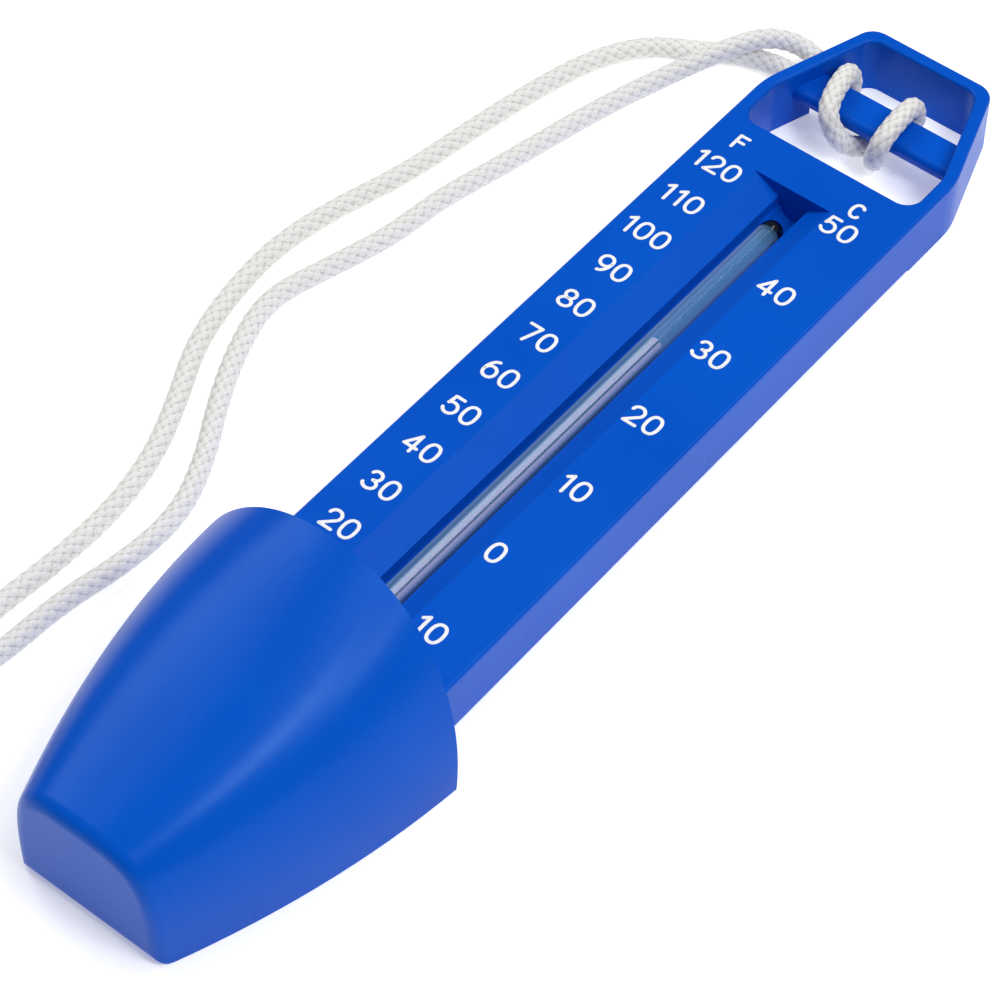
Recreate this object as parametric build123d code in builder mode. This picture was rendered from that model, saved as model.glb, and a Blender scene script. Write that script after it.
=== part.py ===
"""Floating pool thermometer with a scoop cup, a spirit tube and a hitched cord.

Frame: +Z out of the front face, +Y toward the head, origin at the bottom centre of the
plastic parts (the middle of the flat back). Millimetres.
"""

import math
import os

from build123d import *

os.makedirs("parts", exist_ok=True)

# ---------------------------------------------------------------- driving dimensions
# plate and head
PLATE_HALF_W = 15.85  # half width of the long plate
PLATE_T = 9.0  # full thickness of the plate and the head frame
COVER_T = 2.0  # thickness of the welded back cover
TONGUE_END_Y = -52.0  # end of the tongue inside the cup
COVER_LOW_Y = -44.35  # end of the back cover, just clear of the cup's back wall
COVER_TOP_Y = 57.7  # from here on the head frame is full thickness
SHOULDER_Y = 67.6  # where the straight sides start to draw in
HEAD_TOP_Y = 85.15
HEAD_TOP_HALF_W = 10.0
HEAD_WALL = 1.95
OPENING_LOW_Y = 59.75
OUTER_CORNER_R = 3.0
SHOULDER_R = 12.0
INNER_CORNER_R = 2.5
EDGE_R = 0.45  # softened front edges

# crossbar
BAR_LOW_Y = 70.35
BAR_TOP_Y = 76.15
BAR_BOTTOM_Z = 4.0
BAR_T = 2.4
BAR_EDGE_R = 1.0

# cord relief in the back edge of the upper left wall
NOTCH_LOW_Y = 73.5
NOTCH_W = 8.2
NOTCH_H = 3.5

# channel: two slopes down from the front face, a narrow slot and a half round groove
CHANNEL_W = 12.4
CHANNEL_X = -0.3
CHANNEL_FLOOR_Z = 5.0
CHANNEL_TOP_Y = 52.6
SLOT_HALF_W = 2.35
SLOT_TOP_Z = 6.75  # where the slopes end above the slot
TUBE_Z = 5.2
GROOVE_R = 1.8

# float chambers beside the channel
SKIN_T = 1.8
CHAMBER_LOW_Y = -42.5
CHAMBER_TOP_Y = 50.5
PAD_CLEARANCE = 0.15
PAD_H = 0.8

# cup
CUP_RIM_Y = -44.65
CUP_END_Y = -85.15
CUP_RIM_LEAN = 0.12  # forward lean of the rim, per unit of height
CUP_RIM_HALF_W = 21.7
CUP_RIM_H = 28.4
CUP_RIM_POWER = 2.16  # power of the rounded D section
CUP_END_HALF_W = 10.9
CUP_END_H = 18.5
CUP_END_POWER = 3.7
CUP_BULGE = 1.65  # how far the sides swell out between rim and end
CUP_WALL = 1.8
CUP_END_R = 2.0  # round of the closed end
CUP_STATIONS = 6

# tube
TUBE_R = 1.7
BORE_R = 1.10
TUBE_TIP_Y = 49.4
BORE_TIP_Y = 47.9
BULB_R = 2.9
BULB_CAVITY_R = 2.2
BULB_LOW_Y = -67.0
BULB_TOP_Y = -56.0
NECK_Y = -53.2
BUSH_R = 2.9
BUSH_LOW_Y = -52.0
BUSH_L = 4.5

# spirit
COLUMN_R = 1.05
COLUMN_TOP_Y = 22.66  # 30 degrees Celsius
MENISCUS_L = 1.4
FILL_GAP = 0.05

# cord
CORD_D = 3.0
COIL_X = -53.4
COIL_Y = -83.0
COIL_INNER_R = 14.6  # middle of the inner leg's turns
COIL_OUTER_R = 17.7  # middle of the outer leg's turns
COIL_LAYERS = 2
COIL_EDGE_R = 1.4
TIE_ANGLE = 200.0
TIE_W = 4.0
TIE_T = 0.4
KNOT_R = 6.0
KNOT_X = COIL_X + 1.0
KNOT_Y = COIL_Y + 2.0

BAR_MID_Y = (BAR_LOW_Y + BAR_TOP_Y) / 2
BAR_MID_Z = BAR_BOTTOM_Z + BAR_T / 2
CHAMBER_OUT_X = PLATE_HALF_W - SKIN_T
CHAMBER_RIGHT_X = CHANNEL_X + CHANNEL_W / 2 + SKIN_T
CHAMBER_LEFT_X = CHANNEL_X - CHANNEL_W / 2 - SKIN_T

# The cord's route, hand laid. The bight joins the two legs low beside the crossbar.
BIGHT = (-1.0, 68.95, 1.9)
LEG_A = [
    (1.6, 68.9, 1.9),  # right wrap: near side of the bar, low
    (3.2, 68.7, 8.05),  # near side, above the bar
    (2.9, 77.85, 8.05),  # far side, above the bar
    (2.4, 77.85, 1.6),  # far slot, low
    (-3.6, 75.0, 1.5),  # under the bar
    (-9.0, 74.6, 1.5),
    (-13.4, 76.5, 1.5),  # out through the relief
    (-18.6, 77.5, 1.5),
    (-24.6, 75.9, 1.5),
    (-30.4, 72.5, 1.5),
    (-36.2, 68.3, 1.5),
    (-40.1, 61.0, 1.5),
    (-43.4, 51.0, 1.5),
    (-45.5, 39.5, 1.5),
    (-47.1, 28.0, 1.5),
    (-50.2, 17.5, 1.5),
    (-51.9, 7.5, 1.5),
    (-51.1, -2.5, 1.5),
    (-48.7, -12.5, 1.5),
    (-43.9, -21.5, 1.5),
    (-40.1, -30.0, 1.5),
    (-38.1, -39.5, 1.5),
    (-38.0, -50.0, 1.5),
    (-39.0, -61.0, 1.5),
    (-38.7, -71.5, 1.5),  # into the coil
]
LEG_B = [
    (-3.6, 69.0, 1.9),  # left wrap: bends low beside the bar
    (-6.0, 68.4, 8.05),
    (-7.1, 77.85, 8.05),
    (-7.9, 78.0, 1.6),
    (-13.6, 80.3, 1.5),  # out through the relief
    (-18.6, 81.9, 2.3),
    (-22.5, 77.9, 4.75),  # hump over the other leg
    (-25.7, 71.8, 4.75),
    (-29.3, 65.2, 2.6),
    (-32.4, 58.6, 1.5),
    (-35.2, 49.5, 1.5),
    (-37.8, 38.0, 1.5),
    (-40.4, 27.5, 1.5),
    (-41.1, 18.5, 1.5),
    (-43.6, 9.5, 1.5),
    (-46.6, -0.5, 1.5),
    (-44.0, -9.5, 1.5),
    (-39.6, -18.5, 1.5),
    (-34.6, -26.5, 1.5),
    (-31.1, -35.0, 1.5),
    (-31.2, -44.5, 1.5),
    (-33.2, -54.5, 1.5),
    (-33.5, -64.6, 1.5),
    (-35.2, -75.0, 1.5),  # into the coil
]


def corner_radii(route):
    """Radius of the arc at each inner point: 0.45 of the shorter run over tan(half turn)."""
    points = [Vector(*p) for p in route]
    radii = []
    for before, here, after in zip(points, points[1:], points[2:]):
        run_in = here - before
        run_out = after - here
        half_turn = math.radians(run_in.get_angle(run_out)) / 2
        radii.append(0.45 * min(run_in.length, run_out.length) / math.tan(half_turn))
    return radii


def cup_size(u):
    """Half width, height and power of the cup's section; u is 0 at the rim, 1 at the end."""
    half_w = CUP_RIM_HALF_W + (CUP_END_HALF_W - CUP_RIM_HALF_W) * u
    half_w += CUP_BULGE * 4 * u * (1 - u)
    height = CUP_RIM_H + (CUP_END_H - CUP_RIM_H) * u
    power = CUP_RIM_POWER + (CUP_END_POWER - CUP_RIM_POWER) * u
    return half_w, height, power


def cup_plane(u):
    """Plane of the cup's section, which leans like the rim at u = 0 and is upright at u = 1."""
    lean = CUP_RIM_LEAN * (1 - u)
    y = CUP_RIM_Y + (CUP_END_Y - CUP_RIM_Y) * u
    return Plane(origin=(0, y, 0), x_dir=(1, 0, 0), z_dir=(0, -1, lean))


def cup_arch(u, inset, floor):
    """Points of the section's arch, from its right foot over the top to its left foot."""
    half_w, height, power = cup_size(u)
    half_w -= inset
    rise = height - inset - floor
    stretch = math.hypot(1, CUP_RIM_LEAN * (1 - u))
    points = []
    for i in range(17):
        angle = math.pi * i / 16
        c = math.cos(angle)
        x = half_w * math.copysign(abs(c) ** (2 / power), c)
        z = floor + rise * abs(math.sin(angle)) ** (2 / power)
        points.append((x, z * stretch))
    return points


def head_outline(wall):
    """Half width, shoulder, top and half width at the top of the outline, less the wall."""
    slope = (PLATE_HALF_W - HEAD_TOP_HALF_W) / (HEAD_TOP_Y - SHOULDER_Y)
    angle = math.atan(slope)
    half_w = PLATE_HALF_W - wall
    shoulder = SHOULDER_Y - wall * math.tan(angle / 2)
    top = HEAD_TOP_Y - wall
    top_half = half_w - slope * (top - shoulder)
    return half_w, shoulder, top, top_half


# ---------------------------------------------------------------- plate, channel and head
half_w, shoulder_y, top_y, top_half = head_outline(0)
in_half, in_shoulder, in_top, in_top_half = head_outline(HEAD_WALL)

with BuildPart() as scale_body:
    # head frame, full thickness
    with BuildSketch(Plane.XY):
        with BuildLine():
            Polyline(
                (-half_w, COVER_TOP_Y),
                (half_w, COVER_TOP_Y),
                (half_w, shoulder_y),
                (top_half, top_y),
                (-top_half, top_y),
                (-half_w, shoulder_y),
                close=True,
            )
        make_face()
    extrude(amount=PLATE_T)
    # its opening
    with BuildSketch(Plane.XY) as opening:
        with BuildLine():
            Polyline(
                (-in_half, OPENING_LOW_Y),
                (in_half, OPENING_LOW_Y),
                (in_half, in_shoulder),
                (in_top_half, in_top),
                (-in_top_half, in_top),
                (-in_half, in_shoulder),
                close=True,
            )
        make_face()
        fillet(opening.vertices(), INNER_CORNER_R)
    extrude(amount=PLATE_T, mode=Mode.SUBTRACT)
    # crossbar, then trimmed to the head's outline with its corners rounded
    with BuildSketch(Plane.YZ.offset(-PLATE_HALF_W)):
        with Locations((BAR_MID_Y, BAR_MID_Z)):
            RectangleRounded(BAR_TOP_Y - BAR_LOW_Y, BAR_T, BAR_EDGE_R)
    extrude(amount=2 * PLATE_HALF_W)
    with BuildSketch(Plane.XY) as outline:
        with BuildLine():
            Polyline(
                (-half_w, COVER_TOP_Y),
                (half_w, COVER_TOP_Y),
                (half_w, shoulder_y),
                (top_half, top_y),
                (-top_half, top_y),
                (-half_w, shoulder_y),
                close=True,
            )
        make_face()
        rows = outline.vertices().group_by(Axis.Y)
        fillet(rows[1], SHOULDER_R)
        fillet(outline.vertices().group_by(Axis.Y)[-1], OUTER_CORNER_R)
    extrude(amount=PLATE_T, mode=Mode.INTERSECT)
    # plate and tongue, in front of the back cover
    with BuildSketch(Plane.XY.offset(COVER_T)):
        with Locations((0, (TONGUE_END_Y + COVER_TOP_Y) / 2)):
            Rectangle(2 * PLATE_HALF_W, COVER_TOP_Y - TONGUE_END_Y)
    extrude(amount=PLATE_T - COVER_T)
    # softened front edge all round and in the opening
    front = faces().sort_by(Axis.Z)[-1]
    fillet(front.edges(), EDGE_R)
    # channel, in section: slopes from the face to the slot, then the slot's floor
    with BuildSketch(Plane.XZ.offset(-TONGUE_END_Y)):
        with BuildLine():
            Polyline(
                (CHANNEL_X - CHANNEL_W / 2, PLATE_T),
                (-SLOT_HALF_W, SLOT_TOP_Z),
                (-SLOT_HALF_W, CHANNEL_FLOOR_Z),
                (SLOT_HALF_W, CHANNEL_FLOOR_Z),
                (SLOT_HALF_W, SLOT_TOP_Z),
                (CHANNEL_X + CHANNEL_W / 2, PLATE_T),
                close=True,
            )
        make_face()
    extrude(amount=-(CHANNEL_TOP_Y - TONGUE_END_Y), mode=Mode.SUBTRACT)
    # half round groove for the tube, right through to the channel's end wall
    with BuildSketch(Plane.XZ.offset(-TONGUE_END_Y)):
        with Locations((0, TUBE_Z)):
            Circle(GROOVE_R)
    extrude(amount=-(CHANNEL_TOP_Y - TONGUE_END_Y), mode=Mode.SUBTRACT)
    # seat of the bush
    with BuildSketch(Plane.XZ.offset(-BUSH_LOW_Y)):
        with Locations((0, TUBE_Z)):
            Circle(BUSH_R)
    extrude(amount=-BUSH_L, mode=Mode.SUBTRACT)
    # float chambers, open at the back
    chamber_l = CHAMBER_TOP_Y - CHAMBER_LOW_Y
    chamber_y = (CHAMBER_TOP_Y + CHAMBER_LOW_Y) / 2
    with BuildSketch(Plane.XY.offset(COVER_T)) as chambers:
        with Locations(((CHAMBER_RIGHT_X + CHAMBER_OUT_X) / 2, chamber_y)):
            Rectangle(CHAMBER_OUT_X - CHAMBER_RIGHT_X, chamber_l)
        with Locations(((CHAMBER_LEFT_X - CHAMBER_OUT_X) / 2, chamber_y)):
            Rectangle(CHAMBER_OUT_X + CHAMBER_LEFT_X, chamber_l)
        fillet(chambers.vertices(), 1.0)
    extrude(amount=PLATE_T - COVER_T - SKIN_T, mode=Mode.SUBTRACT)
    # relief for the two legs of the cord
    with BuildSketch(Plane.YZ.offset(-PLATE_HALF_W)):
        with Locations((NOTCH_LOW_Y + NOTCH_W / 2, NOTCH_H / 2 - 1.0)):
            RectangleRounded(NOTCH_W, NOTCH_H + 2.0, 1.2)
    extrude(amount=PLATE_HALF_W - 5.0, mode=Mode.SUBTRACT)
scale_body.part.label = "scale_body"
export_step(scale_body.part, "parts/scale_body.step")

# ---------------------------------------------------------------- back cover
with BuildPart() as back_cover:
    with BuildSketch(Plane.XY):
        with Locations((0, (COVER_LOW_Y + COVER_TOP_Y) / 2)):
            Rectangle(2 * PLATE_HALF_W, COVER_TOP_Y - COVER_LOW_Y)
    extrude(amount=COVER_T)
    # soft lower edges along the two sides
    fillet(edges().filter_by(Axis.Y).group_by(Axis.Z)[0], EDGE_R)
    # raised pads that locate the cover in the chambers
    with BuildSketch(Plane.XY.offset(COVER_T)) as pads:
        with Locations(((CHAMBER_RIGHT_X + CHAMBER_OUT_X) / 2, chamber_y)):
            Rectangle(
                CHAMBER_OUT_X - CHAMBER_RIGHT_X - 2 * PAD_CLEARANCE,
                chamber_l - 2 * PAD_CLEARANCE,
            )
        with Locations(((CHAMBER_LEFT_X - CHAMBER_OUT_X) / 2, chamber_y)):
            Rectangle(
                CHAMBER_OUT_X + CHAMBER_LEFT_X - 2 * PAD_CLEARANCE,
                chamber_l - 2 * PAD_CLEARANCE,
            )
        fillet(pads.vertices(), 1.0)
    extrude(amount=PAD_H)
back_cover.part.label = "back_cover"
export_step(back_cover.part, "parts/back_cover.step")

# ---------------------------------------------------------------- cup
inner_end = 1 - CUP_WALL / (CUP_RIM_Y - CUP_END_Y)

with BuildPart() as cup:
    for i in range(CUP_STATIONS):
        u = i / (CUP_STATIONS - 1)
        with BuildSketch(cup_plane(u)):
            with BuildLine():
                arch = cup_arch(u, 0, 0)
                Spline(arch, tangents=[(0, 1), (0, -1)])
                Line(arch[-1], arch[0])
            make_face()
    loft()
    fillet(faces().sort_by(Axis.Y)[0].edges(), CUP_END_R)
    # the water space, cut from just outside the rim to the inside of the end wall
    for i in range(CUP_STATIONS):
        u = -0.04 + (inner_end + 0.04) * i / (CUP_STATIONS - 1)
        with BuildSketch(cup_plane(u)):
            with BuildLine():
                arch = cup_arch(u, CUP_WALL, COVER_T)
                Spline(arch, tangents=[(0, 1), (0, -1)])
                Line(arch[-1], arch[0])
            make_face()
    loft(mode=Mode.SUBTRACT)
cup.part.label = "cup"
export_step(cup.part, "parts/cup.step")

# ---------------------------------------------------------------- tube and bush
tube_axis = Axis((0, 0, TUBE_Z), (0, 1, 0))
shoulder = BULB_TOP_Y + 1.6
CAVITY_LOW_Y = BULB_LOW_Y + BULB_R - BULB_CAVITY_R
CAVITY_TOP_Y = BULB_TOP_Y - 0.2

with BuildPart() as glass_tube:
    with BuildSketch(Plane.XY.offset(TUBE_Z)):
        with BuildLine():
            Line((0, BULB_LOW_Y), (0, CAVITY_LOW_Y))
            RadiusArc((0, CAVITY_LOW_Y), (BULB_CAVITY_R, CAVITY_LOW_Y + BULB_CAVITY_R), -BULB_CAVITY_R)
            Line((BULB_CAVITY_R, CAVITY_LOW_Y + BULB_CAVITY_R), (BULB_CAVITY_R, CAVITY_TOP_Y))
            Line((BULB_CAVITY_R, CAVITY_TOP_Y), (BORE_R, shoulder))
            Line((BORE_R, shoulder), (BORE_R, BORE_TIP_Y - BORE_R))
            RadiusArc((BORE_R, BORE_TIP_Y - BORE_R), (0, BORE_TIP_Y), -BORE_R)
            Line((0, BORE_TIP_Y), (0, TUBE_TIP_Y))
            RadiusArc((0, TUBE_TIP_Y), (TUBE_R, TUBE_TIP_Y - TUBE_R), TUBE_R)
            Line((TUBE_R, TUBE_TIP_Y - TUBE_R), (TUBE_R, NECK_Y))
            Spline(
                (TUBE_R, NECK_Y),
                (BULB_R, BULB_TOP_Y),
                tangents=[(0, -1), (0, -1)],
            )
            Line((BULB_R, BULB_TOP_Y), (BULB_R, BULB_LOW_Y + BULB_R))
            RadiusArc((BULB_R, BULB_LOW_Y + BULB_R), (0, BULB_LOW_Y), BULB_R)
        make_face()
    revolve(axis=tube_axis)
glass_tube.part.label = "glass_tube"
export_step(glass_tube.part, "parts/glass_tube.step")

with BuildPart() as tube_bush:
    with BuildSketch(Plane.XZ.offset(-BUSH_LOW_Y)):
        with Locations((0, TUBE_Z)):
            Circle(BUSH_R)
            Circle(TUBE_R, mode=Mode.SUBTRACT)
    extrude(amount=-BUSH_L)
tube_bush.part.label = "tube_bush"
export_step(tube_bush.part, "parts/tube_bush.step")

# ---------------------------------------------------------------- spirit
fill_r = BULB_CAVITY_R - FILL_GAP
column_low_y = shoulder + 0.4
meniscus_low_y = COLUMN_TOP_Y - MENISCUS_L

with BuildPart() as bulb_fill:
    with BuildSketch(Plane.XY.offset(TUBE_Z)):
        with BuildLine():
            Line((0, CAVITY_LOW_Y + FILL_GAP), (0, column_low_y))
            Line((0, column_low_y), (COLUMN_R, column_low_y))
            Line((COLUMN_R, column_low_y), (COLUMN_R, shoulder))
            Line((COLUMN_R, shoulder), (fill_r, CAVITY_TOP_Y))
            Line((fill_r, CAVITY_TOP_Y), (fill_r, CAVITY_LOW_Y + BULB_CAVITY_R))
            RadiusArc(
                (fill_r, CAVITY_LOW_Y + BULB_CAVITY_R), (0, CAVITY_LOW_Y + FILL_GAP), fill_r
            )
        make_face()
    revolve(axis=tube_axis)
bulb_fill.part.label = "bulb_fill"
export_step(bulb_fill.part, "parts/bulb_fill.step")

with BuildPart() as spirit_thread:
    with BuildSketch(Plane.XZ.offset(-column_low_y)):
        with Locations((0, TUBE_Z)):
            Circle(COLUMN_R)
    extrude(amount=-(meniscus_low_y - column_low_y))
spirit_thread.part.label = "spirit_thread"
export_step(spirit_thread.part, "parts/spirit_thread.step")

with BuildPart() as spirit_meniscus:
    with BuildSketch(Plane.XZ.offset(-meniscus_low_y)):
        with Locations((0, TUBE_Z)):
            Circle(COLUMN_R)
    extrude(amount=-MENISCUS_L)
    fillet(edges().sort_by(Axis.Y)[-1], 0.35)
spirit_meniscus.part.label = "spirit_meniscus"
export_step(spirit_meniscus.part, "parts/spirit_meniscus.step")

# ---------------------------------------------------------------- cord
whole = LEG_A[::-1] + LEG_B
whole_radii = corner_radii(whole)
radii_a = whole_radii[len(LEG_A) - 2 :: -1]
radii_b = whole_radii[len(LEG_A) - 1 :]
print("arc radii, leg a:", [round(r, 1) for r in radii_a])
print("arc radii, leg b:", [round(r, 1) for r in radii_b])

for name, leg, radii in (("cord_a", LEG_A, radii_a), ("cord_b", LEG_B, radii_b)):
    with BuildPart() as cord:
        with BuildLine() as path:
            FilletPolyline(BIGHT, *leg, radius=radii)
        with BuildSketch(Plane(origin=path.wires()[0] @ 0, z_dir=path.wires()[0] % 0)):
            Circle(CORD_D / 2)
        sweep(path=path.wires()[0])
    length = path.wires()[0].length
    section = math.pi * CORD_D**2 / 4
    print(name, "length", round(length, 1), "volume over section", cord.part.volume / section)
    cord.part.label = name
    export_step(cord.part, f"parts/{name}.step")

coil_in_r = COIL_INNER_R - CORD_D / 2
coil_out_r = COIL_OUTER_R + CORD_D / 2
coil_h = COIL_LAYERS * CORD_D
tie_dir = Vector(1, 0, 0).rotate(Axis.Z, TIE_ANGLE)
tie_plane = Plane(
    origin=(COIL_X, COIL_Y, 0), x_dir=tie_dir, z_dir=tie_dir.cross(Vector(0, 0, 1))
)
coil_mid_r = (coil_in_r + coil_out_r) / 2

with BuildPart() as cord_tie:
    with BuildSketch(tie_plane):
        with Locations((coil_mid_r, (coil_h + TIE_T) / 2)):
            RectangleRounded(coil_out_r - coil_in_r + 2 * TIE_T, coil_h + TIE_T, 0.9)
        with Locations((coil_mid_r, (coil_h + TIE_T) / 2)):
            RectangleRounded(coil_out_r - coil_in_r, coil_h - TIE_T, 0.6, mode=Mode.SUBTRACT)
    extrude(amount=TIE_W / 2, both=True)
cord_tie.part.label = "cord_tie"
export_step(cord_tie.part, "parts/cord_tie.step")

with BuildPart() as cord_coil:
    with BuildSketch(Plane(origin=(COIL_X, COIL_Y, 0), x_dir=(1, 0, 0), z_dir=(0, -1, 0))):
        with Locations((coil_mid_r, coil_h / 2)):
            RectangleRounded(coil_out_r - coil_in_r, coil_h, COIL_EDGE_R)
    revolve(axis=Axis((COIL_X, COIL_Y, 0), (0, 0, 1)))
    add(cord_tie.part, mode=Mode.SUBTRACT)
cord_coil.part.label = "cord_coil"
export_step(cord_coil.part, "parts/cord_coil.step")

with BuildPart() as cord_knot:
    with Locations((KNOT_X, KNOT_Y, KNOT_R)):
        Sphere(KNOT_R)
cord_knot.part.label = "cord_knot"
export_step(cord_knot.part, "parts/cord_knot.step")
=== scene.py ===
"""Floating pool thermometer: printed scale, braided cord, finishes and studio.

Metres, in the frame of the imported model: +Z out of the front face, +Y toward the head.
"""

import logging
import math
from dataclasses import dataclass
from enum import Enum

import bpy
import numpy as np
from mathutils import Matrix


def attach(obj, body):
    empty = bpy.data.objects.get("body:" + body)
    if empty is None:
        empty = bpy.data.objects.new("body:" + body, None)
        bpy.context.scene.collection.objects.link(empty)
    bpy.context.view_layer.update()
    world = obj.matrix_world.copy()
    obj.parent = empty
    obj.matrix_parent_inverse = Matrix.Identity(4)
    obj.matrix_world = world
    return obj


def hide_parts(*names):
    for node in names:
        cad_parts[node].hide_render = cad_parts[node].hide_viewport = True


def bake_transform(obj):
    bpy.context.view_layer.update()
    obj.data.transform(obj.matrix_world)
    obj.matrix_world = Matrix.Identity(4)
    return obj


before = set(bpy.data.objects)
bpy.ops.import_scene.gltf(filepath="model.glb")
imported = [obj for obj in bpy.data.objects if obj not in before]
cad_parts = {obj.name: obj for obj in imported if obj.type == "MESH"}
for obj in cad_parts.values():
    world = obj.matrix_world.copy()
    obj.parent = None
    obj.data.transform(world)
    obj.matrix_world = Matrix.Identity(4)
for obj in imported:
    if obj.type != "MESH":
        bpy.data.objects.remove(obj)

log = logging.getLogger("pool_thermometer")
MM = 0.001
Array = np.ndarray
Colour = tuple[float, float, float]

FRONT_Z = 9.0  # height of the front face above the back
TUBE_Z = 5.2  # height of the tube's axis
CORD_D = 3.0

# The cord's route in millimetres. The bight lies under the crossbar and joins both legs.
BIGHT = (-0.8, 72.6, 1.6)
LEG_A = [
    (1.2, 70.6, 1.7),  # right wrap: out from under the bar
    (2.4, 68.0, 3.9),
    (3.1, 68.6, 8.5),
    (2.5, 77.9, 8.3),
    (2.4, 78.0, 1.5),  # far slot, low
    (-3.6, 75.0, 1.5),  # under the bar
    (-9.0, 74.6, 1.5),
    (-13.4, 76.5, 1.5),  # out through the relief
    (-18.6, 77.5, 1.5),
    (-24.6, 75.9, 1.5),
    (-30.4, 72.5, 1.5),
    (-36.7, 68.8, 1.5),
    (-41.0, 61.6, 1.5),
    (-43.6, 51.1, 1.5),
    (-45.5, 39.5, 1.5),
    (-47.1, 28.0, 1.5),
    (-50.2, 17.5, 1.5),
    (-51.9, 7.5, 1.5),
    (-51.1, -2.5, 1.5),
    (-48.7, -12.5, 1.5),
    (-43.9, -21.5, 1.5),
    (-40.1, -30.0, 1.5),
    (-38.1, -39.5, 1.5),
    (-38.0, -50.0, 1.5),
    (-39.0, -61.0, 1.5),
    (-38.7, -71.5, 1.5),  # into the coil
]
LEG_B = [
    (-2.3, 70.2, 1.7),  # left wrap: out from under the bar
    (-4.0, 68.2, 4.3),
    (-6.4, 68.6, 8.4),
    (-8.4, 77.9, 8.2),
    (-8.1, 78.2, 1.5),
    (-13.6, 80.3, 1.5),  # out through the relief
    (-18.6, 81.9, 2.4),
    (-22.5, 78.1, 5.0),  # hump over the other leg
    (-25.8, 71.8, 5.0),
    (-29.9, 65.6, 2.6),
    (-33.0, 59.0, 1.5),
    (-35.4, 49.6, 1.5),
    (-37.8, 38.0, 1.5),
    (-40.4, 27.5, 1.5),
    (-41.1, 18.5, 1.5),
    (-43.6, 9.5, 1.5),
    (-46.6, -0.5, 1.5),
    (-44.0, -9.5, 1.5),
    (-39.6, -18.5, 1.5),
    (-34.6, -26.5, 1.5),
    (-31.1, -35.0, 1.5),
    (-31.2, -44.5, 1.5),
    (-33.2, -54.5, 1.5),
    (-33.5, -64.6, 1.5),
    (-35.2, -75.0, 1.5),  # into the coil
]


# ---------------------------------------------------------------- mesh making


def ring_quads(rings: int, around: int) -> Array:
    """Quads of a grid that closes on itself around.

    Args:
        rings: number of rings along the piece.
        around: number of points on each ring.

    Returns:
        Corner numbers; ring i, place j joins ring i + 1 and place j + 1.
    """
    i, j = np.meshgrid(np.arange(rings - 1), np.arange(around), indexing="ij")
    k = (j + 1) % around
    corners = [i * around + j, i * around + k, (i + 1) * around + k, (i + 1) * around + j]
    return np.stack(corners, axis=-1).reshape(-1, 4)


def cap_tris(first: int, around: int, pole: int, flip: bool) -> Array:
    """Triangles from one ring to a pole point, turned over where flip is true."""
    j = np.arange(around)
    k = (j + 1) % around
    sides = (k, j) if flip else (j, k)
    return np.stack([first + sides[0], first + sides[1], np.full(around, pole)], axis=-1)


def closed_tube(rings: int, around: int, start: int = 0) -> list[Array]:
    """Faces of a tube closed on two poles, whose numbers follow its last ring's.

    Args:
        rings: number of rings along the tube.
        around: number of points on each ring.
        start: number of its first point.

    Returns:
        The side's quads and both caps' triangles.
    """
    count = rings * around
    last = start + count - around
    return [
        ring_quads(rings, around) + start,
        cap_tris(start, around, start + count, True),
        cap_tris(last, around, start + count + 1, False),
    ]


def full_turn(around: int) -> Array:
    """Even angles of one full turn, in radians."""
    return np.linspace(0, 2 * math.pi, around, endpoint=False)


def make_piece(
    name: str, points: Array, faces: list[Array], smooth: bool = True
) -> bpy.types.Object:
    """Puts whole arrays of points and faces into a new object at the origin.

    Args:
        name: the piece's name.
        points: its points, in metres.
        faces: arrays of quads or triangles.
        smooth: whether the faces are shaded smooth.

    Returns:
        The linked object.
    """
    mesh = bpy.data.meshes.new(name)
    mesh.from_pydata(points.tolist(), [], [f for block in faces for f in block.tolist()])
    mesh.polygons.foreach_set("use_smooth", np.full(len(mesh.polygons), smooth))
    mesh.update()
    piece = bpy.data.objects.new(name, mesh)
    bpy.context.scene.collection.objects.link(piece)
    return piece


def running_length(points: Array) -> Array:
    """Length along a line at each of its points."""
    runs = np.linalg.norm(np.diff(points, axis=0), axis=1)
    return np.concatenate([[0.0], np.cumsum(runs)])


def even_path(points: Array, step: float) -> Array:
    """The same line with points a fixed step apart, by its running length."""
    along = running_length(points)
    places = np.linspace(0.0, along[-1], max(8, int(along[-1] / step)))
    return np.stack([np.interp(places, along, points[:, c]) for c in range(3)], axis=1)


def carried_frames(path: Array) -> tuple[Array, Array, Array]:
    """Tangent, side and top directions, carried along a path with no twist.

    Each side direction is the last one with its part along the new tangent taken off.

    Args:
        path: points of the line.

    Returns:
        Tangents, sides and tops, one row for each point.
    """
    tangent = np.gradient(path, axis=0)
    tangent /= np.linalg.norm(tangent, axis=1, keepdims=True)
    side = np.empty_like(tangent)
    last = np.cross(tangent[0], (0.0, 0.0, 1.0))
    if np.linalg.norm(last) < 0.1:
        last = np.array((1.0, 0.0, 0.0))
    for i, t in enumerate(tangent):
        last = last - t * np.dot(last, t)
        last = last / np.linalg.norm(last)
        side[i] = last
    return tangent, side, np.cross(tangent, side)


def tube_skin(path: Array, turn: Array, radius: Array) -> Array:
    """Points round a line: the line plus the radius times a direction at each angle.

    The direction is the side times the angle's cosine plus the top times its sine.

    Args:
        path: points of the line.
        turn: angles round it.
        radius: radius at each point of the line and each angle.

    Returns:
        The skin, one row of points for each point of the line.
    """
    _, side, top = carried_frames(path)
    ring = side[:, None, :] * np.cos(turn)[None, :, None]
    ring = ring + top[:, None, :] * np.sin(turn)[None, :, None]
    return path[:, None, :] + ring * radius[:, :, None]


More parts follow.
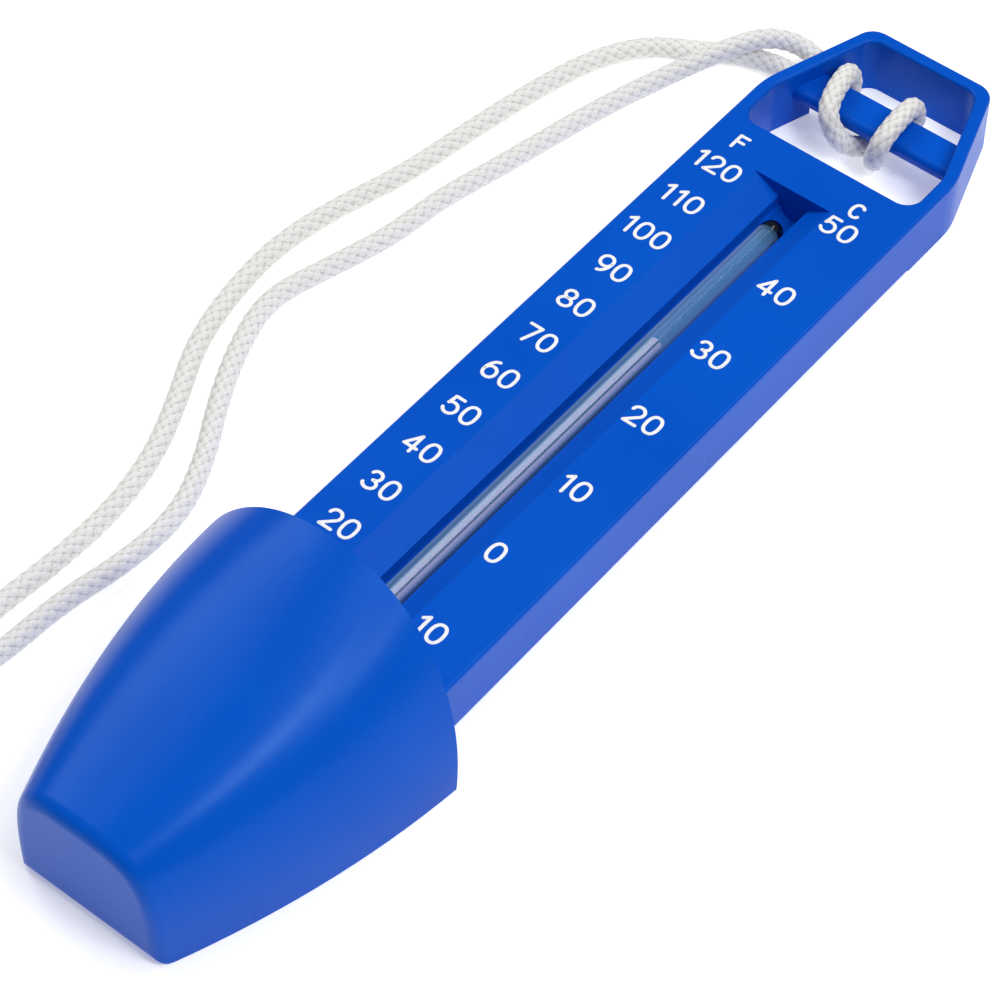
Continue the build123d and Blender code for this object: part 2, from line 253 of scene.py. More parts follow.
def nurbs_line(points: list[tuple[float, float, float]]) -> Array:
    """Points of a smooth spline of order 3 with the given control points, in metres."""
    curve = bpy.data.curves.new("route", "CURVE")
    curve.dimensions = "3D"
    curve.resolution_u = 24
    spline = curve.splines.new("NURBS")
    spline.points.add(len(points) - 1)
    weights = np.ones((len(points), 1))
    spline.points.foreach_set("co", np.hstack([np.array(points) * MM, weights]).ravel())
    spline.order_u = 3
    spline.use_endpoint_u = True
    holder = bpy.data.objects.new("route", curve)
    bpy.context.scene.collection.objects.link(holder)
    bpy.context.view_layer.update()
    mesh = bpy.data.meshes.new_from_object(holder)
    line = np.empty(len(mesh.vertices) * 3)
    mesh.vertices.foreach_get("co", line)
    bpy.data.objects.remove(holder)
    bpy.data.curves.remove(curve)
    bpy.data.meshes.remove(mesh)
    return line.reshape(-1, 3)


def give_values(piece: bpy.types.Object, name: str, values: Array) -> None:
    """Keeps one number at each point of a piece, for its material to read."""
    layer = piece.data.attributes.new(name, "FLOAT", "POINT")
    layer.data.foreach_set("value", values.astype(np.float32).ravel())


# ---------------------------------------------------------------- finishes


class NodeSheet:
    """A material's node tree, with short calls to add and join nodes."""

    def __init__(self, name: str) -> None:
        """Starts a material that holds only its output and a Principled shader."""
        self.material = bpy.data.materials.new(name)
        self.material.use_nodes = True
        self.nodes = self.material.node_tree.nodes
        self.links = self.material.node_tree.links
        self.shader = self.nodes["Principled BSDF"]

    def add(self, kind: str, **settings: object) -> bpy.types.Node:
        """Adds a node and sets its properties."""
        node = self.nodes.new(kind)
        for key, value in settings.items():
            setattr(node, key, value)
        return node

    def join(self, out: bpy.types.NodeSocket, into: bpy.types.NodeSocket) -> None:
        """Links one socket to another."""
        self.links.new(out, into)

    def place(self) -> bpy.types.NodeSocket:
        """The point's place in the row frame, in metres."""
        return self.add("ShaderNodeTexCoord").outputs["Object"]

    def noise(
        self, scale: float, detail: float = 4.0, rough: float = 0.55
    ) -> bpy.types.NodeSocket:
        """Even noise over the piece, from 0 to 1; scale is in cells for each metre."""
        node = self.add("ShaderNodeTexNoise")
        node.inputs["Scale"].default_value = scale
        node.inputs["Detail"].default_value = detail
        node.inputs["Roughness"].default_value = rough
        self.join(self.place(), node.inputs["Vector"])
        return node.outputs["Fac"]

    def ramp(
        self, value: bpy.types.NodeSocket, stops: list[tuple[float, Colour]]
    ) -> bpy.types.NodeSocket:
        """Colours along a value, one for each stop."""
        node = self.add("ShaderNodeValToRGB")
        band = node.color_ramp
        while len(band.elements) < len(stops):
            band.elements.new(0.5)
        for element, (where, colour) in zip(band.elements, stops):
            element.position = where
            element.color = (*colour, 1.0)
        self.join(value, node.inputs["Fac"])
        return node.outputs["Color"]

    def span(self, value: bpy.types.NodeSocket, low: float, high: float) -> bpy.types.NodeSocket:
        """The value carried from 0..1 to low..high."""
        node = self.add("ShaderNodeMapRange")
        node.inputs["To Min"].default_value = low
        node.inputs["To Max"].default_value = high
        self.join(value, node.inputs["Value"])
        return node.outputs["Result"]

    def mix(
        self, factor: bpy.types.NodeSocket, first: bpy.types.NodeSocket, second: Colour
    ) -> bpy.types.NodeSocket:
        """The first colour, giving way to the second as the factor goes to 1."""
        node = self.add("ShaderNodeMix", data_type="RGBA")
        self.join(factor, node.inputs["Factor"])
        ends = [socket for socket in node.inputs if socket.type == "RGBA"]
        self.join(first, ends[0])
        ends[1].default_value = (*second, 1.0)
        return [socket for socket in node.outputs if socket.type == "RGBA"][0]

    def multiply(
        self, first: bpy.types.NodeSocket, second: bpy.types.NodeSocket
    ) -> bpy.types.NodeSocket:
        """Both colours multiplied."""
        node = self.add("ShaderNodeMix", data_type="RGBA", blend_type="MULTIPLY")
        node.inputs["Factor"].default_value = 1.0
        ends = [socket for socket in node.inputs if socket.type == "RGBA"]
        self.join(first, ends[0])
        self.join(second, ends[1])
        return [socket for socket in node.outputs if socket.type == "RGBA"][0]

    def bump(self, height: bpy.types.NodeSocket, strength: float, depth: float) -> None:
        """Roughens the shader's normal with a height, whose full depth is in metres."""
        node = self.add("ShaderNodeBump")
        node.inputs["Strength"].default_value = strength
        node.inputs["Distance"].default_value = depth
        self.join(height, node.inputs["Height"])
        self.join(node.outputs["Normal"], self.shader.inputs["Normal"])

    def set(self, **values: object) -> None:
        """Sets the shader's own sockets; an underscore stands for a space."""
        for key, value in values.items():
            self.shader.inputs[key.replace("_", " ")].default_value = value


@dataclass(frozen=True)
class MouldedBlue:
    """Bright blue moulded plastic with a soft gloss and faint flow marks."""

    name: str = "moulded_blue"
    deep: Colour = (0.0003, 0.079, 0.535)
    light: Colour = (0.0008, 0.092, 0.585)
    sheen: Colour = (0.48, 0.82, 1.0)
    rough_low: float = 0.25
    rough_high: float = 0.32
    gloss: float = 0.15
    grain: float = 0.00003

    def build(self) -> bpy.types.Material:
        """The finish as a material."""
        sheet = NodeSheet(self.name)
        tint = sheet.ramp(sheet.noise(38.0, 3.0), [(0.3, self.deep), (0.7, self.light)])
        sheet.join(tint, sheet.shader.inputs["Base Color"])
        wear = sheet.span(sheet.noise(160.0, 5.0), self.rough_low, self.rough_high)
        sheet.join(wear, sheet.shader.inputs["Roughness"])
        sheet.bump(sheet.noise(2600.0, 3.0), 0.25, self.grain)
        sheet.set(IOR=1.47, Specular_IOR_Level=self.gloss, Specular_Tint=(*self.sheen, 1.0))
        return sheet.material


@dataclass(frozen=True)
class ClearTube:
    """Drawn glass: blue-grey where it is looked through, with a painted pale lilac reflection
    along its edges.

    Its sealed end is painted dark, as painted shade.
    """

    name: str = "clear_tube"
    heart: Colour = (0.12, 0.32, 0.60)
    # painted reflection: pale lilac on the edges, where the glass is seen at a glancing angle
    edge: Colour = (0.34, 0.50, 0.86)
    tip: Colour = (0.002, 0.003, 0.01)
    tip_y: float = 46.7  # where the painted shade at the sealed end starts, in millimetres
    tip_blend: float = 0.5  # over how much the painted shade darkens
    thin: float = 0.15  # how much of it shows where it is looked straight through
    roughness: float = 0.05

    def build(self) -> bpy.types.Material:
        """The finish as a material."""
        sheet = NodeSheet(self.name)
        facing = sheet.add("ShaderNodeLayerWeight")
        facing.inputs["Blend"].default_value = 0.35
        turn = facing.outputs["Facing"]
        # paler towards the edges by their facing: a painted reflection
        tint = sheet.ramp(turn, [(0.15, self.heart), (0.75, self.edge)])
        parts = sheet.add("ShaderNodeSeparateXYZ")
        sheet.join(sheet.place(), parts.inputs[0])
        # mask of the painted shade at the sealed end; it also makes the glass there opaque
        sealed = sheet.add("ShaderNodeMapRange")
        sealed.inputs["From Min"].default_value = self.tip_y * MM
        sealed.inputs["From Max"].default_value = (self.tip_y + self.tip_blend) * MM
        sheet.join(parts.outputs["Y"], sealed.inputs["Value"])
        tint = sheet.mix(sealed.outputs["Result"], tint, self.tip)
        sheet.join(tint, sheet.shader.inputs["Base Color"])
        solid = sheet.add("ShaderNodeMath", operation="MAXIMUM")
        sheet.join(sheet.span(turn, self.thin, 0.92), solid.inputs[0])
        sheet.join(sealed.outputs["Result"], solid.inputs[1])
        sheet.join(solid.outputs[0], sheet.shader.inputs["Alpha"])
        waver = sheet.span(sheet.noise(220.0, 2.0), self.roughness, self.roughness + 0.04)
        sheet.join(waver, sheet.shader.inputs["Roughness"])
        sheet.bump(sheet.noise(300.0, 1.0), 0.12, 0.00002)
        sheet.set(IOR=1.47)
        return sheet.material


@dataclass(frozen=True)
class PaleSpirit:
    """Milky lilac spirit, with a painted highlight along its left and painted shade in dark
    threads along it.
    """

    name: str = "pale_spirit"
    body: Colour = (0.80, 0.64, 0.84)
    # painted highlight: a white band along the left of the column
    bright: Colour = (1.0, 0.96, 0.98)
    # painted shade: the dark threads along the column
    shade: Colour = (0.01, 0.01, 0.03)
    half_w: float = 1.05  # half the column's width, in millimetres

    def build(self) -> bpy.types.Material:
        """The finish as a material."""
        sheet = NodeSheet(self.name)
        parts = sheet.add("ShaderNodeSeparateXYZ")
        sheet.join(sheet.place(), parts.inputs[0])
        across = sheet.add("ShaderNodeMapRange")
        across.inputs["From Min"].default_value = -self.half_w * MM
        across.inputs["From Max"].default_value = self.half_w * MM
        sheet.join(parts.outputs["X"], across.inputs["Value"])
        # painted highlight and painted shade in bands across the column, by its x position
        highlight_and_shade_stripes = [
            (0.18, self.shade),
            (0.26, self.bright),
            (0.44, self.bright),
            (0.56, self.body),
            (0.66, self.body),
            (0.71, self.shade),
            (0.78, self.shade),
            (0.84, self.body),
        ]
        tint = sheet.ramp(across.outputs["Result"], highlight_and_shade_stripes)
        sheet.join(tint, sheet.shader.inputs["Base Color"])
        sheet.bump(sheet.noise(1500.0, 2.0), 0.1, 0.00002)
        sheet.set(Roughness=0.25)
        return sheet.material


@dataclass(frozen=True)
class BraidedWhite:
    """White braided cord; painted shade darkens its gaps, and loose fibres roughen it."""

    name: str = "braided_white"
    ridge: Colour = (0.90, 0.885, 0.86)
    # painted shade: the colour deep in the braid's gaps
    gap: Colour = (0.46, 0.46, 0.46)

    def build(self) -> bpy.types.Material:
        """The finish as a material."""
        sheet = NodeSheet(self.name)
        height = sheet.add("ShaderNodeAttribute", attribute_name="braid").outputs["Fac"]
        # darker where the braid lies low: painted shade in its gaps
        tint = sheet.ramp(height, [(0.05, self.gap), (0.55, self.ridge)])
        fuzz = sheet.noise(3200.0, 6.0, 0.7)
        soil = sheet.ramp(fuzz, [(0.3, (0.86, 0.86, 0.85)), (0.7, (1.0, 1.0, 1.0))])
        sheet.join(sheet.multiply(tint, soil), sheet.shader.inputs["Base Color"])
        sheet.bump(fuzz, 0.5, 0.00010)
        sheet.set(Roughness=0.78, Sheen_Weight=0.25, Sheen_Roughness=0.5)
        return sheet.material


@dataclass(frozen=True)
class PrintInk:
    """White printing ink, a little uneven over its strokes."""

    name: str = "print_ink"
    thin: Colour = (0.84, 0.84, 0.85)
    full: Colour = (0.95, 0.95, 0.95)

    def build(self) -> bpy.types.Material:
        """The finish as a material."""
        sheet = NodeSheet(self.name)
        tint = sheet.ramp(sheet.noise(1400.0, 4.0), [(0.3, self.thin), (0.6, self.full)])
        sheet.join(tint, sheet.shader.inputs["Base Color"])
        sheet.bump(sheet.noise(5000.0, 3.0), 0.2, 0.00002)
        sheet.set(Roughness=0.5)
        return sheet.material


@dataclass(frozen=True)
class SoftRubber:
    """Matt black rubber with a fine grain."""

    name: str = "soft_rubber"
    colour: Colour = (0.02, 0.02, 0.022)

    def build(self) -> bpy.types.Material:
        """The finish as a material."""
        sheet = NodeSheet(self.name)
        pale = tuple(c * 1.8 for c in self.colour)
        tint = sheet.ramp(sheet.noise(800.0), [(0.3, self.colour), (0.7, pale)])
        sheet.join(tint, sheet.shader.inputs["Base Color"])
        sheet.bump(sheet.noise(4000.0), 0.4, 0.00005)
        sheet.set(Roughness=0.7)
        return sheet.material


@dataclass(frozen=True)
class WovenBand:
    """Dark woven band, its weave made of two crossing sets of waves."""

    name: str = "woven_band"
    low: Colour = (0.02, 0.02, 0.025)
    high: Colour = (0.07, 0.07, 0.08)
    threads: float = 1600.0
    wave_turn: float = 6.28  # threads to one unit of a wave's scale

    def build(self) -> bpy.types.Material:
        """The finish as a material."""
        sheet = NodeSheet(self.name)
        waves = []
        for direction in ("X", "Z"):
            wave = sheet.add("ShaderNodeTexWave", bands_direction=direction)
            wave.inputs["Scale"].default_value = self.threads / self.wave_turn
            wave.inputs["Distortion"].default_value = 0.4
            sheet.join(sheet.place(), wave.inputs["Vector"])
            waves.append(wave.outputs["Fac"])
        both = sheet.add("ShaderNodeMath", operation="MULTIPLY")
        sheet.join(waves[0], both.inputs[0])
        sheet.join(waves[1], both.inputs[1])
        tint = sheet.ramp(both.outputs[0], [(0.1, self.low), (0.7, self.high)])
        sheet.join(tint, sheet.shader.inputs["Base Color"])
        sheet.bump(both.outputs[0], 0.5, 0.00015)
        sheet.set(Roughness=0.85)
        return sheet.material


@dataclass(frozen=True)
class PaperWhite:
    """Plain pale studio floor, which glows faintly: a painted light that washes out its shadows
    and lights the parts from below.
    """

    name: str = "paper_white"
    colour: Colour = (0.93, 0.93, 0.93)
    glow: float = 0.35

    def build(self) -> bpy.types.Material:
        """The finish as a material."""
        sheet = NodeSheet(self.name)
        tint = sheet.ramp(sheet.noise(6.0), [(0.3, self.colour), (0.7, (0.95, 0.95, 0.95))])
        sheet.join(tint, sheet.shader.inputs["Base Color"])
        # painted light: the floor glows though it is no lamp
        sheet.set(Roughness=0.9, Emission_Color=(1.0, 1.0, 1.0, 1.0), Emission_Strength=self.glow)
        return sheet.material


def dress(piece: bpy.types.Object, material: bpy.types.Material) -> None:
    """Gives a piece or a CAD node one material on all its faces."""
    piece.data.materials.clear()
    piece.data.materials.append(material)


# ---------------------------------------------------------------- cord


@dataclass
class Coil:
    """Where the put-away length is wound: two legs side by side, in two layers."""

    x: float = -53.4
    y: float = -83.0
    inner_r: float = 14.6
    outer_r: float = 17.7
    low_z: float = 1.5
    high_z: float = 4.5
    per_turn: int = 14
    lead_y: float = 1.0  # how far before the coil's middle height a leg comes in
    knot_r: float = 4.0  # where the legs end, from the middle
    climb_from: float = 262.0  # angle at which a leg starts up to the second layer
    climb_over: float = 60.0
    hull_power: float = 0.98  # makes up for the spline's cutting of corners

    def turns(self, radius: float, leave: float, reach: float) -> list[tuple[float, float, float]]:
        """Control points of one leg's turns, clockwise from the side where it comes in.

        The place is the middle plus the radius at an angle that falls evenly. The height
        goes from the floor to the second layer just before the first turn is full, and the
        radius falls to the knot over the last part.

        Args:
            radius: radius of the leg's turns, in millimetres.
            leave: angle at which it starts inward, in degrees.
            reach: angle over which it runs in to the knot, in degrees.

        Returns:
            The control points, in millimetres.
        """
        count = int((leave + reach) / 360.0 * self.per_turn) + 1
        angle = np.arange(1, count + 1) * 360.0 / self.per_turn
        inward = np.clip((angle - leave) / reach, 0.0, 1.0)
        inward = inward * inward * (3 - 2 * inward)
        hull = radius / math.cos(math.pi / self.per_turn) ** self.hull_power
        r = hull + (self.knot_r - hull) * inward
        rise = np.clip((angle - self.climb_from) / self.climb_over, 0.0, 1.0)
        rise = rise * rise * (3 - 2 * rise)
        z = self.low_z + (self.high_z - self.low_z) * rise
        turn = np.radians(-angle)
        xyz = np.stack([self.x + r * np.cos(turn), self.y + r * np.sin(turn), z], axis=1)
        return [tuple(p) for p in xyz.tolist()]


@dataclass
class BraidedCord:
    """One leg of the doubled cord, from the bight round the crossbar to the knot.

    A plain braid: two sets of six bundles wind round it in opposite ways and pass over
    and under each other by turns.
    """

    name: str
    leg: list[tuple[float, float, float]]
    coil_radius: float
    coil_in_x: float
    leave: float
    reach: float
    diameter: float = CORD_D
    bundles: int = 6
    cell: float = 1.85
    relief: float = 0.26
    step: float = 0.20
    around: int = 36

    def height(self, along: Array, turn: Array) -> Array:
        """Height of the braid, 0 in its gaps and 1 on its ridges.

        Each way's phase is bundles times the turn, plus or minus the length over a cell.
        On every other cell one way lies on top; a bundle is a half sine across itself, and
        bulges by a half sine along itself.

        Args:
            along: length along the cord, in millimetres.
            turn: angle round it, in radians.

        Returns:
            The height at each point.
        """
        phase_a = self.bundles * turn / (2 * math.pi) + along / self.cell
        phase_b = self.bundles * turn / (2 * math.pi) - along / self.cell
        across_a = np.sin(math.pi * (phase_a % 1.0))
        across_b = np.sin(math.pi * (phase_b % 1.0))
        over = (np.floor(phase_a) + np.floor(phase_b)) % 2 == 0
        top = np.where(over, across_a, across_b)
        other = np.where(over, across_b, across_a)
        return top**0.6 * (0.35 + 0.65 * np.sqrt(other))

    def build(self, material: bpy.types.Material) -> tuple[bpy.types.Object, Array]:
        """Makes the cord's surface round its line.

        A point is the line plus the radius, less the relief in the gaps, times the side
        and top directions at its angle. Both ends close on a pole.

        Args:
            material: the cord's finish.

        Returns:
            The piece and the line that it follows.
        """
        coil = Coil()
        lead = (self.coil_in_x, coil.y + coil.lead_y, coil.low_z)
        turns = coil.turns(self.coil_radius, self.leave, self.reach)
        path = even_path(nurbs_line([BIGHT, *self.leg, lead, *turns]), self.step * MM)
        along = running_length(path) / MM
        turn = full_turn(self.around)
        lift = self.height(along[:, None], turn[None, :])
        radius = (self.diameter / 2 - self.relief * (1 - lift)) * MM
        skin = tube_skin(path, turn, radius)
        points = np.concatenate([skin.reshape(-1, 3), path[:1], path[-1:]])
        faces = closed_tube(len(path), self.around)
        piece = make_piece(self.name, points, faces)
        give_values(piece, "braid", np.concatenate([lift.ravel(), [0.5, 0.5]]))
        dress(piece, material)
        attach(piece, "thermometer")
        log.info("%s: %.0f mm of cord", self.name, along[-1])
        return piece, path


@dataclass
class CordKnot:
    """Overhand knot that joins the two legs, with two short sealed ends."""

    x: float = -52.4
    y: float = -81.0
    z: float = 4.4
    size: float = 1.35
    rise: float = 1.9
    tube_r: float = 1.85
    relief: float = 0.2
    around: int = 36
    rings: int = 420
    tail_l: float = 6.5
    tail_from: float = 3.0  # where the ends start, from the knot's middle
    tail_z: float = 1.55
    tail_angles: tuple[float, float] = (0.35, 1.5)
    tail_rings: int = 60

    def line(self) -> Array:
        """A trefoil: sin t + 2 sin 2t, cos t - 2 cos 2t, and minus sin 3t for its height."""
        t = np.linspace(0, 2 * math.pi, self.rings)
        x = self.x + self.size * (np.sin(t) + 2 * np.sin(2 * t))
        y = self.y + self.size * (np.cos(t) - 2 * np.cos(2 * t))
        z = self.z - self.rise * np.sin(3 * t)
        return np.stack([x, y, z], axis=1)

    def build(self, cord: BraidedCord, material: bpy.types.Material) -> bpy.types.Object:
        """Makes the knot and its two ends as one piece, braided like the cord.

        Args:
            cord: the cord whose braid it takes.
            material: the cord's finish.

        Returns:
            The piece.
        """
        blocks, faces, values, start = [], [], [], 0
        lines = [(self.line(), self.tube_r)]
        for angle in self.tail_angles:
            out = np.array((math.cos(angle), math.sin(angle), 0.0))
            reach = np.linspace(self.tail_from, self.tail_from + self.tail_l, self.tail_rings)
            low = np.array((self.x, self.y, self.tail_z)) + out * reach[:, None]
            lines.append((low, cord.diameter / 2))
        for path, tube_r in lines:
            turn = full_turn(self.around)
            lift = cord.height(running_length(path)[:, None], turn[None, :])
            skin = tube_skin(path, turn, tube_r - self.relief * (1 - lift))
            blocks += [skin.reshape(-1, 3), path[:1], path[-1:]]
            faces += closed_tube(len(path), self.around, start)
            values += [lift.ravel(), np.array([0.5, 0.5])]
            start += len(path) * self.around + 2
        piece = make_piece("cord_overhand_knot", np.concatenate(blocks) * MM, faces)
        give_values(piece, "braid", np.concatenate(values))
        dress(piece, material)
        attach(piece, "thermometer")
        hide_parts("cord_knot")
        return piece


class HitchedCord:
    """The doubled cord: both legs, the knot and the band round the coil."""

    def build(self) -> None:
        white = BraidedWhite().build()
        leg_a = BraidedCord("cord_leg_outer", LEG_A, Coil.inner_r, -38.85, 590.0, 115.0)
        leg_b = BraidedCord("cord_leg_inner", LEG_B, Coil.outer_r, -35.8, 612.0, 150.0)
        knot = CordKnot().build(leg_a, white)
        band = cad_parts["cord_tie"]
        dress(band, WovenBand().build())
        for leg, also in ((leg_a, ("cord_a", "cord_coil")), (leg_b, ("cord_b",))):
            piece, path = leg.build(white)
            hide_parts(*also)


# ---------------------------------------------------------------- printed scale


class Unit(Enum):
    """The two scales, each with the letter above it."""

    FAHRENHEIT = "F"
    CELSIUS = "C"


def arc(
    cx: float, cy: float, rx: float, ry: float, start: float, end: float, power: float = 2.0
) -> Array:
    """Points of a rounded arc, centre plus radii times a power of cosine and sine."""
    t = np.radians(np.linspace(start, end, 40))
    c, s = np.cos(t), np.sin(t)
    x = cx + rx * np.sign(c) * np.abs(c) ** (2 / power)
    y = cy + ry * np.sign(s) * np.abs(s) ** (2 / power)
    return np.stack([x, y], axis=1)


def straight(*corners: tuple[float, float]) -> list[Array]:
    """One two-point stroke for each side of an open run of corners."""
    spots = [np.array(c) for c in corners]
    return [np.linspace(a, b, 8) for a, b in zip(spots, spots[1:])]


class Glyphs:
    """Monoline figures on a cell 2 wide and 3.1 high, as the middle lines of their strokes."""

    HALF_H = 1.55
    WIDTH = {"1": 1.15, "4": 2.15, "F": 1.8}

    @staticmethod
    def strokes(sign: str) -> list[Array]:
        """The strokes of one sign."""
        table = {
            "0": lambda: [arc(1.0, 1.55, 0.98, 1.55, 90, 450, 2.35)],
            "1": lambda: straight((0.1, 2.5), (0.85, 3.1), (0.85, 0.0)),
            "2": lambda: [
                np.concatenate([
                    arc(0.98, 2.2, 0.93, 0.9, 172, -25),
                    np.linspace((1.72, 1.62), (0.05, 0.02), 12),
                ]),
                *straight((0.05, 0.0), (1.98, 0.0)),
            ],
            "3": lambda: [
                arc(0.95, 2.32, 0.82, 0.78, 160, -90),
                arc(0.93, 0.80, 0.98, 0.80, 82, -162),
            ],
            "4": lambda: straight((1.5, 0.0), (1.5, 3.1), (0.05, 0.85), (2.1, 0.85)),
            "5": lambda: [
                *straight((1.8, 3.1), (0.42, 3.1), (0.22, 1.72)),
                arc(0.92, 1.02, 1.0, 1.02, 138, -155),
            ],
            "6": lambda: [
                arc(1.0, 1.0, 0.95, 1.0, 90, 450, 2.1),
                arc(1.45, 1.15, 1.4, 1.95, 184, 98),
            ],
            "7": lambda: straight((0.05, 3.1), (1.95, 3.1), (0.75, 0.0)),
            "8": lambda: [
                arc(1.0, 2.35, 0.78, 0.75, 90, 450),
                arc(1.0, 0.80, 0.97, 0.80, 90, 450),
            ],
            "9": lambda: [
                arc(1.0, 2.1, 0.95, 1.0, 90, 450, 2.1),
                arc(0.55, 1.95, 1.4, 1.95, 4, -82),
            ],
            "F": lambda: [
                *straight((0.1, 0.0), (0.1, 3.1), (1.85, 3.1)),
                *straight((0.1, 1.62), (1.6, 1.62)),
            ],
            "C": lambda: [arc(1.05, 1.55, 1.02, 1.55, 42, 318, 2.2)],
        }
        return table[sign]()


@dataclass
class PrintedLabel:
    """One number or letter of the scale, in raised ink."""

    name: str
    text: str
    x: float
    y: float
    size: float = 0.95
    gap: float = 0.86
    pen_r: float = 0.25
    ink_t: float = 0.05
    around: int = 14

    def stroke(self, line: Array, start: int) -> tuple[Array, list[Array], int]:
        """A flattened round pen carried along one stroke, with round ends.

        The section is an ellipse, pen wide and ink thick. At each end the pen shrinks to
        its pole as a half circle does.

        Args:
            line: middle line of the stroke in the label's plane.
            start: number of the first point.

        Returns:
            Points, faces and the number after the last point.
        """
        direction = np.gradient(line, axis=0)
        direction /= np.linalg.norm(direction, axis=1, keepdims=True)
        ease = np.linspace(0, math.pi / 2, 7)[1:-1]
        before = line[0] - direction[0] * (np.cos(ease)[:, None] * self.pen_r)
        after = line[-1] + direction[-1] * (np.cos(ease[::-1])[:, None] * self.pen_r)
        rail = np.concatenate([before, line, after])
        way = np.concatenate([
            np.repeat(direction[:1], 5, 0), direction, np.repeat(direction[-1:], 5, 0)
        ])
        girth = np.concatenate([np.sin(ease), np.ones(len(line)), np.sin(ease[::-1])])
        normal = np.stack([way[:, 1], -way[:, 0]], axis=1)
        turn = full_turn(self.around)
        flat = rail[:, None, :] + normal[:, None, :] * (
            self.pen_r * girth[:, None, None] * np.cos(turn)[None, :, None]
        )
        lift = self.ink_t * girth[:, None] * np.sin(turn)[None, :]
        skin = np.concatenate([flat, lift[:, :, None]], axis=2).reshape(-1, 3)
        poles = np.array([
            [*(line[0] - direction[0] * self.pen_r), 0.0],
            [*(line[-1] + direction[-1] * self.pen_r), 0.0],
        ])
        faces = closed_tube(len(rail), self.around, start)
        return np.concatenate([skin, poles]), faces, start + len(skin) + 2

    def build(self, material: bpy.types.Material) -> bpy.types.Object:
        """Sets the signs side by side, centred on the label's place."""
        widths = [Glyphs.WIDTH.get(sign, 2.0) for sign in self.text]
        total = sum(widths) + self.gap * (len(widths) - 1)
        blocks, faces, start, left = [], [], 0, -total / 2
        for sign, width in zip(self.text, widths):
            for line in Glyphs.strokes(sign):
                line = (line + (left, -Glyphs.HALF_H)) * self.size
                points, more, start = self.stroke(line, start)
                blocks.append(points)
                faces += more
            left += width + self.gap
        points = (np.concatenate(blocks) + (self.x, self.y, FRONT_Z)) * MM
        piece = make_piece(self.name, points, faces)
        dress(piece, material)
        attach(piece, "thermometer")
        return piece


@dataclass
class PrintedScale:
    """Both columns of numbers, with the letter of each above it."""

    fahrenheit_x: float = -10.3
    fahrenheit_y20: float = -27.95
    fahrenheit_step: float = 7.8
    celsius_x: float = 8.6
    zero_left: float = 1.25  # the single zero lines up with the tens
    celsius_y0: float = -19.46
    celsius_step: float = 14.04
    hundreds_left: float = 0.5  # three figures reach a little farther left
    letter_size: float = 0.78
    letter_f: tuple[float, float] = (-11.0, 55.4)
    letter_c: tuple[float, float] = (8.55, 54.9)

    def build(self) -> None:
        """Prints every label."""
        ink = PrintInk().build()
        labels = []
        for i, value in enumerate(range(20, 121, 10)):
            x = self.fahrenheit_x - (self.hundreds_left if value > 99 else 0.0)
            y = self.fahrenheit_y20 + self.fahrenheit_step * i
            labels.append(PrintedLabel(f"print_f_{value}", str(value), x, y))
        for i in range(-1, 6):
            y = self.celsius_y0 + self.celsius_step * i
            name = f"print_c_{'below_' if i < 0 else ''}{abs(i) * 10}"
            x = self.celsius_x - (self.zero_left if i == 0 else 0.0)
            labels.append(PrintedLabel(name, str(abs(i) * 10), x, y))
        letters = ((Unit.FAHRENHEIT, *self.letter_f), (Unit.CELSIUS, *self.letter_c))
        for unit, x, y in letters:
            name = f"print_letter_{unit.name.lower()}"
            labels.append(PrintedLabel(name, unit.value, x, y, size=self.letter_size))
        for label in labels:
            label.build(ink)
            log.info("printed %s", label.name)


# ---------------------------------------------------------------- tube and shell


@dataclass
class SpiritColumn:
    """The thread of spirit, which grows and shrinks with the temperature."""

    radius: float = 1.05
    low_y: float = -65.6
    top_y: float = 21.3
    rings: int = 240
    around: int = 24

    def build(self, material: bpy.types.Material) -> bpy.types.Object:
        """Makes a round thread along the bore, from inside the bulb to the meniscus."""
        y = np.linspace(self.low_y, self.top_y, self.rings)
        turn = full_turn(self.around)
        x = np.broadcast_to(-self.radius * np.cos(turn), (self.rings, self.around))
        z = np.broadcast_to(TUBE_Z + self.radius * np.sin(turn), x.shape)
        skin = np.stack([x, np.broadcast_to(y[:, None], x.shape), z], axis=2).reshape(-1, 3)
        poles = np.array([[0, self.low_y, TUBE_Z], [0, self.top_y, TUBE_Z]])
        faces = closed_tube(self.rings, self.around)
        piece = make_piece("spirit_column", np.concatenate([skin, poles]) * MM, faces)
        dress(piece, material)
        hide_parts("spirit_thread")
        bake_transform(piece)
        return piece


class Shell:
    """The moulded parts, the glass and the small hidden parts, as the CAD gives them."""

    def build(self) -> None:
        """Dresses every carried-over node and adds the spirit."""
        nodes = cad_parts
        blue = MouldedBlue().build()
        for name in ("scale_body", "back_cover", "cup"):
            dress(nodes[name], blue)
            log.info("dressed %s", name)
        dress(nodes["glass_tube"], ClearTube().build())
        dress(nodes["tube_bush"], SoftRubber().build())
        spirit = PaleSpirit().build()
        for name in ("bulb_fill", "spirit_meniscus"):
            dress(nodes[name], spirit)
        SpiritColumn().build(spirit)


# ---------------------------------------------------------------- studio


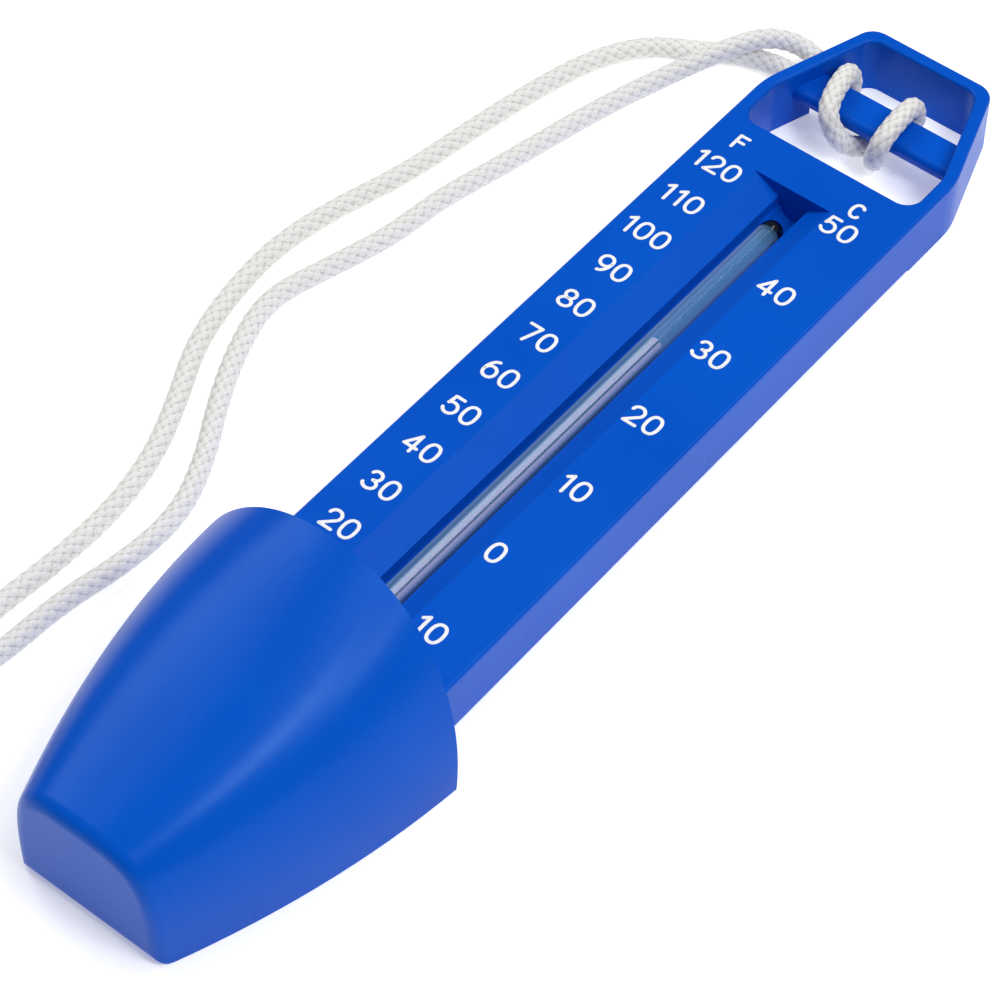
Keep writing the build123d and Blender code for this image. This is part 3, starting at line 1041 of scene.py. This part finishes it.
@dataclass
class SoftBox:
    """A square area light aimed at a point."""

    name: str
    place: tuple[float, float, float]
    aim: tuple[float, float, float]
    size: float
    power: float

    def build(self) -> None:
        """Adds the light; its turn comes from the direction to its aim."""
        data = bpy.data.lights.new(self.name, "AREA")
        data.size = self.size
        data.energy = self.power
        lamp = bpy.data.objects.new(self.name, data)
        bpy.context.scene.collection.objects.link(lamp)
        away = np.array(self.place) - np.array(self.aim)
        flat = math.hypot(away[0], away[1])
        lamp.location = self.place
        lamp.rotation_euler = (math.atan2(flat, away[2]), 0, math.atan2(away[0], -away[1]))


@dataclass
class Studio:
    """Camera, floor and soft light."""

    eye: tuple[float, float, float] = (172.3, -222.95, 346.0)
    tilt: float = 38.72
    swing: float = 38.92
    lens: float = 126.0
    sky: float = 0.16
    floor_half: float = 1.5
    aim: tuple[float, float, float] = (0, 0, 0.01)

    def camera(self) -> None:
        """Adds the camera."""
        data = bpy.data.cameras.new("camera")
        data.lens = self.lens
        data.sensor_width = 36.0
        data.clip_start = 0.01
        camera = bpy.data.objects.new("camera", data)
        bpy.context.scene.collection.objects.link(camera)
        camera.location = tuple(np.array(self.eye) * MM)
        camera.rotation_euler = (math.radians(self.tilt), 0, math.radians(self.swing))
        bpy.context.scene.camera = camera

    def light(self) -> None:
        """Adds the floor, the even sky and the soft boxes."""
        bpy.context.scene.view_settings.view_transform = "Standard"
        world = bpy.data.worlds.new("studio")
        bpy.context.scene.world = world
        world.use_nodes = True
        sky = world.node_tree.nodes["Background"]
        sky.inputs["Color"].default_value = (1.0, 1.0, 1.0, 1.0)
        sky.inputs["Strength"].default_value = self.sky
        side = self.floor_half
        corners = side * np.array([[-1, -1, 0], [1, -1, 0], [1, 1, 0], [-1, 1, 0]])
        floor = make_piece("floor", corners, [np.array([[0, 1, 2, 3]])], smooth=False)
        dress(floor, PaperWhite().build())
        SoftBox("right_box", (0.50, -0.04, 0.76), self.aim, 0.22, 2.5).build()
        SoftBox("right_far_box", (0.70, 0.17, 0.68), self.aim, 0.19, 1.3).build()
        SoftBox("left_box", (-0.62, 0.05, 0.74), self.aim, 0.5, 3.6).build()
        SoftBox("top_box", (0.2, 0.4, 1.05), self.aim, 0.7, 4.2).build()


def main() -> None:
    """Builds the studio camera, the cord, the scale, the shell and the light in order."""
    logging.basicConfig(level=logging.INFO, format="%(name)s: %(message)s")
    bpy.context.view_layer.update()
    studio = Studio()
    studio.camera()
    HitchedCord().build()
    PrintedScale().build()
    Shell().build()
    studio.light()


if __name__ == "__main__":
    main()
